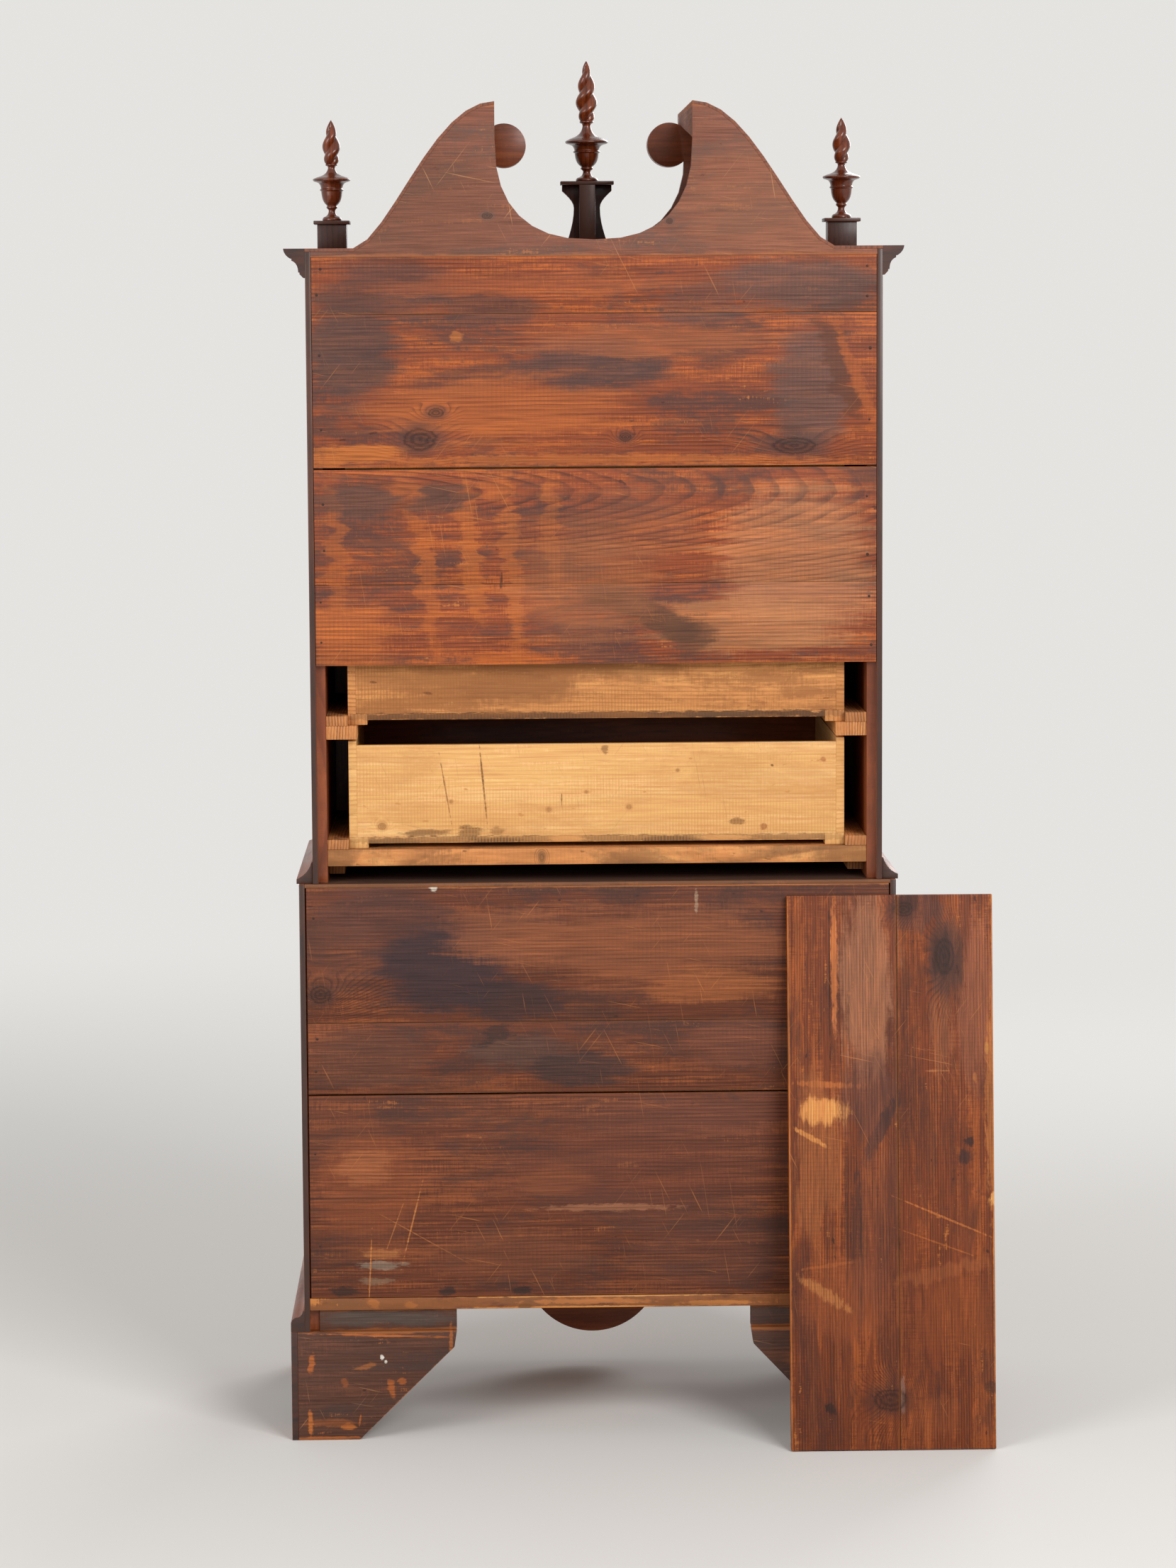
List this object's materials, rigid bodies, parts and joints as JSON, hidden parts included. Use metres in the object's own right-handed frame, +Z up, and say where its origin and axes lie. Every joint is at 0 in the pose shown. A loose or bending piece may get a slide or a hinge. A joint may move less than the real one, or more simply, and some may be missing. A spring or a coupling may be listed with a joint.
{
  "type": "chest-on-chest",
  "caption": "Tall bonnet-top chest of drawers in two stacked cases on bracket feet, with a scrolled hood, flame finials, and one backboard panel taken out and leaned against the back",
  "frame": {"origin": "on the floor, at the middle of the lower case in width and depth", "axes": "+X to the right and +Z up as seen from the front; the drawer fronts face -Y and the backboards face +Y"},
  "size_m": [1.1415, 0.644, 2.252],
  "materials": {
    "cherry": "aged cherry under old varnish, satin",
    "finial": "dark red-brown varnished turned wood, glossy",
    "pine": "unfinished oxidised pine with saw marks, matt",
    "drawer_pine": "unfinished pale pine drawer linings, matt",
    "brass": "aged lacquered cast brass"
  },
  "bodies": {
    "lower_case": {"lower_case_sides": "cherry", "lower_case_top_board": "pine", "lower_case_bottom_board": "pine", "lower_case_backboards": "pine", "lower_drawer_dividers": "cherry", "lower_drawer_runners": "pine", "lower_quarter_columns": "cherry", "mid_moulding": "cherry", "base_moulding": "cherry", "bracket_feet": "cherry", "foot_blocks": "pine", "skirt_drop": "cherry"},
    "upper_case": {"upper_case_sides": "cherry", "upper_case_top_board": "pine", "upper_case_bottom_board": "pine", "upper_case_backboards": "pine", "upper_drawer_dividers": "cherry", "upper_drawer_runners": "pine", "upper_quarter_columns": "cherry", "front_scroll_board": "cherry", "rear_scroll_board": "pine", "bonnet_boards": "pine", "cornice_mouldings": "cherry", "rosettes": "cherry", "finial_plinths": "cherry", "finial_urns": "finial", "finial_flames": "finial"},
    "loose_panel": {"loose_backboard": "pine"},
    "upper_drawer_1": {"upper_drawer_1_front": "cherry", "upper_drawer_1_box": "drawer_pine", "upper_drawer_1_brasses": "brass"},
    "upper_drawer_1_pulls": {"upper_drawer_1_bails": "brass"},
    "upper_drawer_2": {"upper_drawer_2_front": "cherry", "upper_drawer_2_box": "drawer_pine", "upper_drawer_2_brasses": "brass"},
    "upper_drawer_2_pulls": {"upper_drawer_2_bails": "brass"},
    "upper_drawer_3": {"upper_drawer_3_front": "cherry", "upper_drawer_3_box": "drawer_pine", "upper_drawer_3_brasses": "brass"},
    "upper_drawer_3_pulls": {"upper_drawer_3_bails": "brass"},
    "upper_drawer_4": {"upper_drawer_4_front": "cherry", "upper_drawer_4_box": "drawer_pine", "upper_drawer_4_brasses": "brass"},
    "upper_drawer_4_pulls": {"upper_drawer_4_bails": "brass"},
    "upper_drawer_5": {"upper_drawer_5_front": "cherry", "upper_drawer_5_box": "drawer_pine", "upper_drawer_5_brasses": "brass"},
    "upper_drawer_5_pulls": {"upper_drawer_5_bails": "brass"},
    "lower_drawer_1": {"lower_drawer_1_front": "cherry", "lower_drawer_1_box": "drawer_pine", "lower_drawer_1_brasses": "brass"},
    "lower_drawer_1_pulls": {"lower_drawer_1_bails": "brass"},
    "lower_drawer_2": {"lower_drawer_2_front": "cherry", "lower_drawer_2_box": "drawer_pine", "lower_drawer_2_brasses": "brass"},
    "lower_drawer_2_pulls": {"lower_drawer_2_bails": "brass"},
    "lower_drawer_3": {"lower_drawer_3_front": "cherry", "lower_drawer_3_box": "drawer_pine", "lower_drawer_3_brasses": "brass"},
    "lower_drawer_3_pulls": {"lower_drawer_3_bails": "brass"}
  },
  "joints": [
    {"name": "upper_case_lift", "type": "slide", "parent": "lower_case", "child": "upper_case", "axis": [0, 0, 1], "range_m": [0, 0.06]},
    {"name": "loose_panel_lift", "type": "slide", "parent": "lower_case", "child": "loose_panel", "axis": [0, 0, 1], "range_m": [0, 0.25]},
    {"name": "upper_drawer_1_slide", "type": "slide", "parent": "upper_case", "child": "upper_drawer_1", "axis": [0, -1, 0], "range_m": [0, 0.33]},
    {"name": "upper_drawer_1_pulls_swing", "type": "hinge", "parent": "upper_drawer_1", "child": "upper_drawer_1_pulls", "pos_m": [0, -0.25, 1.7483], "axis": [-1, 0, 0], "range_deg": [0, 85]},
    {"name": "upper_drawer_2_slide", "type": "slide", "parent": "upper_case", "child": "upper_drawer_2", "axis": [0, -1, 0], "range_m": [0, 0.33]},
    {"name": "upper_drawer_2_pulls_swing", "type": "hinge", "parent": "upper_drawer_2", "child": "upper_drawer_2_pulls", "pos_m": [0, -0.25, 1.59775], "axis": [-1, 0, 0], "range_deg": [0, 85]},
    {"name": "upper_drawer_3_slide", "type": "slide", "parent": "upper_case", "child": "upper_drawer_3", "axis": [0, -1, 0], "range_m": [0, 0.33]},
    {"name": "upper_drawer_3_pulls_swing", "type": "hinge", "parent": "upper_drawer_3", "child": "upper_drawer_3_pulls", "pos_m": [0, -0.25, 1.4329], "axis": [-1, 0, 0], "range_deg": [0, 85]},
    {"name": "upper_drawer_4_slide", "type": "slide", "parent": "upper_case", "child": "upper_drawer_4", "axis": [0, -1, 0], "range_m": [0, 0.33]},
    {"name": "upper_drawer_4_pulls_swing", "type": "hinge", "parent": "upper_drawer_4", "child": "upper_drawer_4_pulls", "pos_m": [0, -0.25, 1.25375], "axis": [-1, 0, 0], "range_deg": [0, 85]},
    {"name": "upper_drawer_5_slide", "type": "slide", "parent": "upper_case", "child": "upper_drawer_5", "axis": [0, -1, 0], "range_m": [0, 0.33]},
    {"name": "upper_drawer_5_pulls_swing", "type": "hinge", "parent": "upper_drawer_5", "child": "upper_drawer_5_pulls", "pos_m": [0, -0.25, 1.0603], "axis": [-1, 0, 0], "range_deg": [0, 85]},
    {"name": "lower_drawer_1_slide", "type": "slide", "parent": "lower_case", "child": "lower_drawer_1", "axis": [0, -1, 0], "range_m": [0, 0.33]},
    {"name": "lower_drawer_1_pulls_swing", "type": "hinge", "parent": "lower_drawer_1", "child": "lower_drawer_1_pulls", "pos_m": [0, -0.2725, 0.79915], "axis": [-1, 0, 0], "range_deg": [0, 85]},
    {"name": "lower_drawer_2_slide", "type": "slide", "parent": "lower_case", "child": "lower_drawer_2", "axis": [0, -1, 0], "range_m": [0, 0.33]},
    {"name": "lower_drawer_2_pulls_swing", "type": "hinge", "parent": "lower_drawer_2", "child": "lower_drawer_2_pulls", "pos_m": [0, -0.2725, 0.57655], "axis": [-1, 0, 0], "range_deg": [0, 85]},
    {"name": "lower_drawer_3_slide", "type": "slide", "parent": "lower_case", "child": "lower_drawer_3", "axis": [0, -1, 0], "range_m": [0, 0.33]},
    {"name": "lower_drawer_3_pulls_swing", "type": "hinge", "parent": "lower_drawer_3", "child": "lower_drawer_3_pulls", "pos_m": [0, -0.2725, 0.34385], "axis": [-1, 0, 0], "range_deg": [0, 85]}
  ]
}
